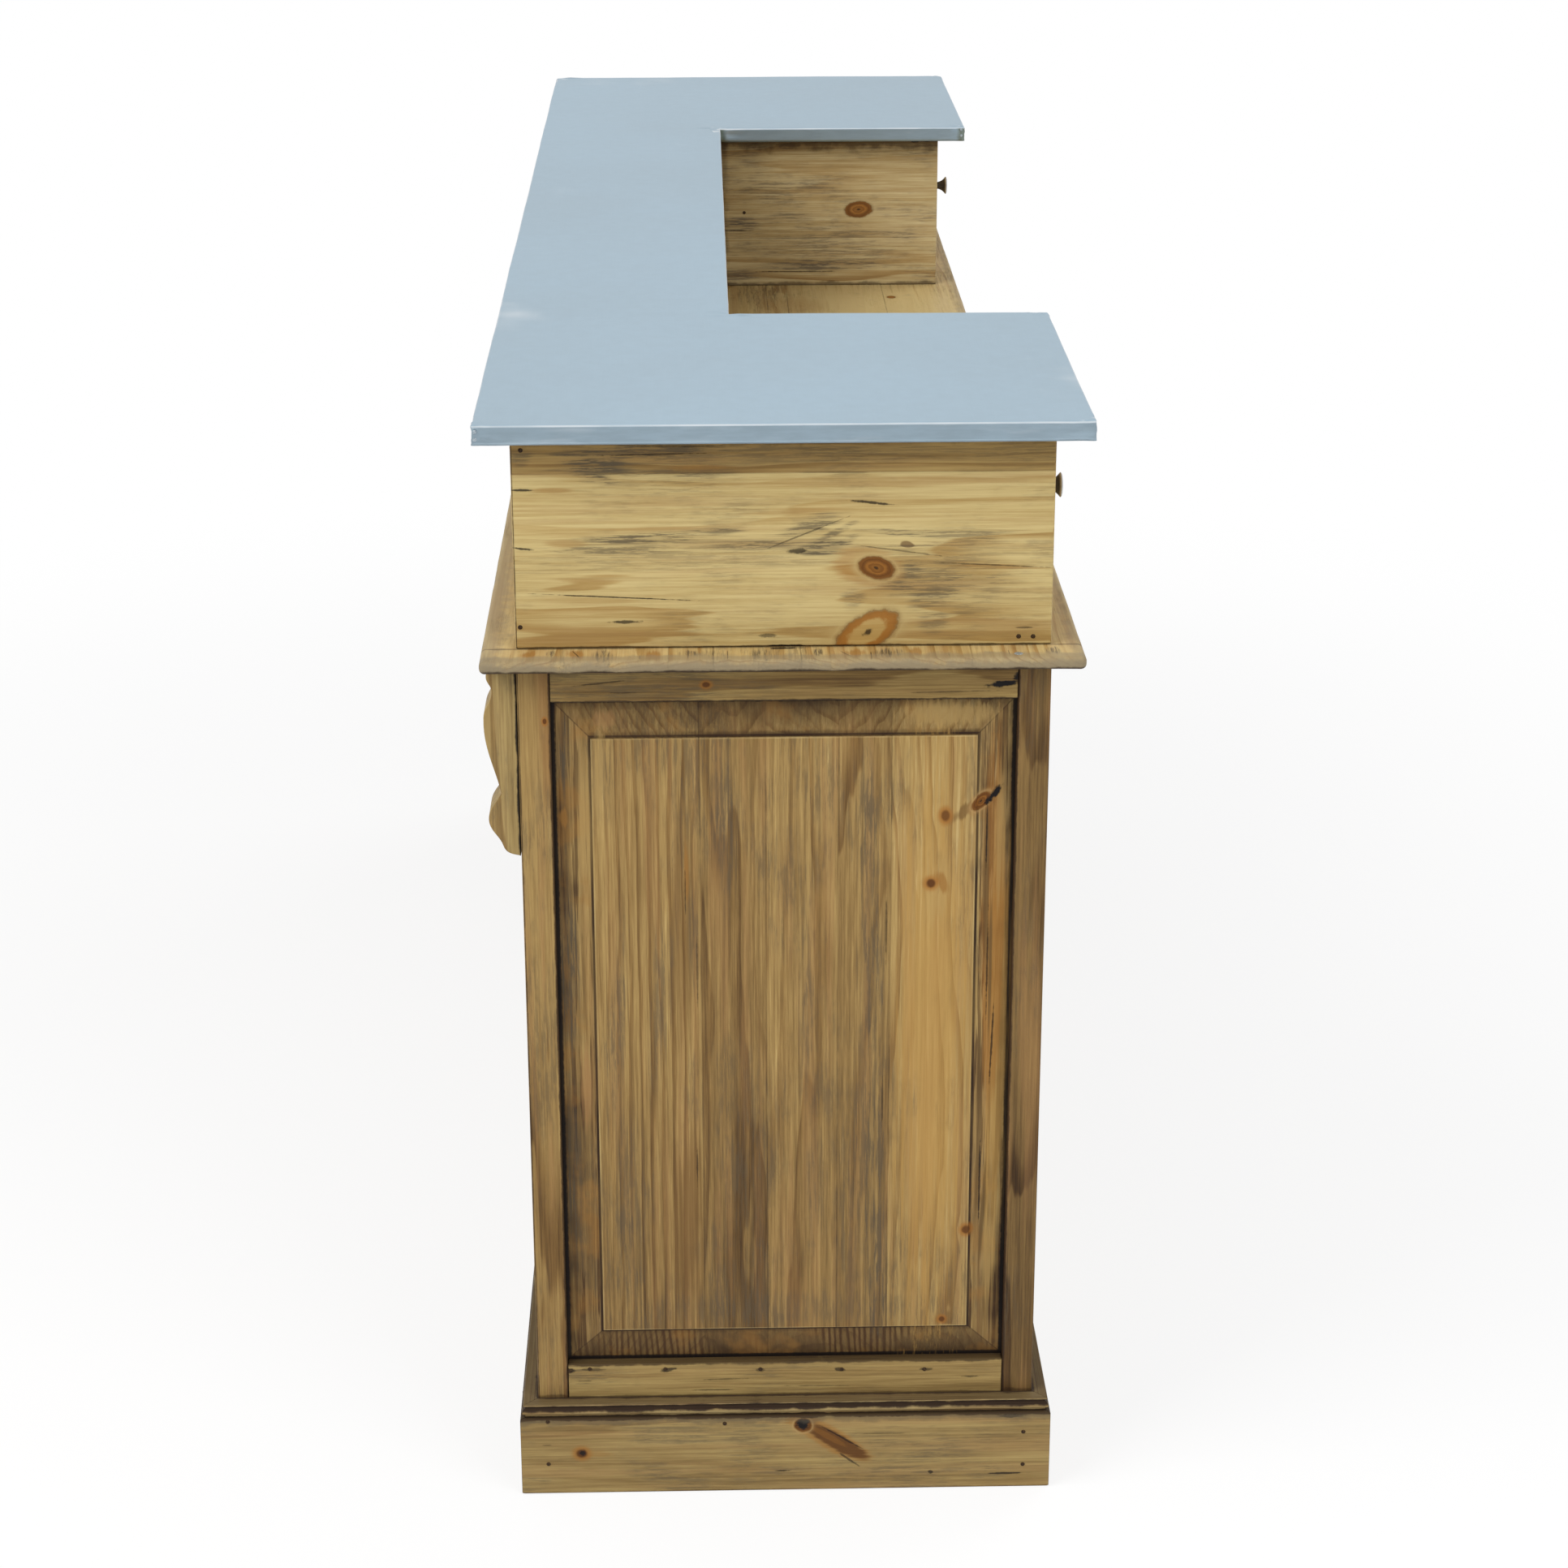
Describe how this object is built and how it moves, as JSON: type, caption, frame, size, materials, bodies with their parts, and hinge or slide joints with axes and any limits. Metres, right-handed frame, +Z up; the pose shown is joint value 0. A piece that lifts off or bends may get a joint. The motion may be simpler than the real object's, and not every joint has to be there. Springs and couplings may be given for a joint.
{
  "type": "bar counter",
  "caption": "Panelled pine bar counter: U-shaped zinc bar top on a raised tier, work board behind it, a drawer in each wing and open shelves on the serving side.",
  "frame": {"origin": "on the floor, under the middle of the counter's bounding box", "axes": "+X along the counter's length, -Y towards the customers, +Y towards the serving side, +Z up"},
  "size_m": [2.012, 0.556, 1.1],
  "materials": {
    "waxed_pine": "old pine, stained and waxed, satin, with dark patina in the quirks",
    "panel_pine": "old pine staves glued edge to edge, waxed, satin",
    "raw_pine": "unfinished pine, matt",
    "zinc": "zinc sheet, blue grey, soft satin, lightly dented",
    "dark_iron": "dark iron, worn bright at the rim"
  },
  "bodies": {
    "counter": {"back_bottom_rail": "waxed_pine", "back_stile": "waxed_pine", "back_top_rail": "waxed_pine", "bar_bearer": "waxed_pine", "bar_top_board": "raw_pine", "base_moulding_back": "waxed_pine", "base_moulding_front": "waxed_pine", "base_moulding_left_end": "waxed_pine", "base_moulding_right_end": "waxed_pine", "bottom_board": "raw_pine", "corbel_1": "waxed_pine", "corbel_2": "waxed_pine", "corbel_3": "waxed_pine", "corbel_4": "waxed_pine", "divider": "raw_pine", "end_bottom_rail_left": "waxed_pine", "end_bottom_rail_right": "waxed_pine", "end_panel_left": "panel_pine", "end_panel_right": "panel_pine", "end_top_rail_left": "waxed_pine", "end_top_rail_right": "waxed_pine", "front_bottom_rail": "waxed_pine", "front_panel_1": "panel_pine", "front_panel_2": "panel_pine", "front_panel_3": "panel_pine", "front_stile_1": "waxed_pine", "front_stile_2": "waxed_pine", "front_top_rail": "waxed_pine", "plinth_back": "waxed_pine", "plinth_front": "waxed_pine", "plinth_left_end": "waxed_pine", "plinth_right_end": "waxed_pine", "post_back_left": "waxed_pine", "post_back_right": "waxed_pine", "post_front_left": "waxed_pine", "post_front_right": "waxed_pine", "shelf_left": "raw_pine", "shelf_right": "raw_pine", "tier_end_board_left": "waxed_pine", "tier_end_board_right": "waxed_pine", "tier_front_board": "waxed_pine", "tier_wall_left": "waxed_pine", "tier_wall_right": "waxed_pine", "wing_top_board_left": "raw_pine", "wing_top_board_right": "raw_pine", "work_board": "waxed_pine", "zinc_top": "zinc"},
    "right_drawer": {"right_drawer_back": "raw_pine", "right_drawer_bottom": "raw_pine", "right_drawer_front": "waxed_pine", "right_drawer_knob": "dark_iron", "right_drawer_side_in": "raw_pine", "right_drawer_side_out": "raw_pine"},
    "left_drawer": {"left_drawer_back": "raw_pine", "left_drawer_bottom": "raw_pine", "left_drawer_front": "waxed_pine", "left_drawer_knob": "dark_iron", "left_drawer_side_in": "raw_pine", "left_drawer_side_out": "raw_pine"}
  },
  "joints": [
    {"name": "right_drawer_slide", "type": "slide", "parent": "counter", "child": "right_drawer", "axis": [0, 1, 0], "range_m": [0, 0.33]},
    {"name": "left_drawer_slide", "type": "slide", "parent": "counter", "child": "left_drawer", "axis": [0, 1, 0], "range_m": [0, 0.33]}
  ]
}
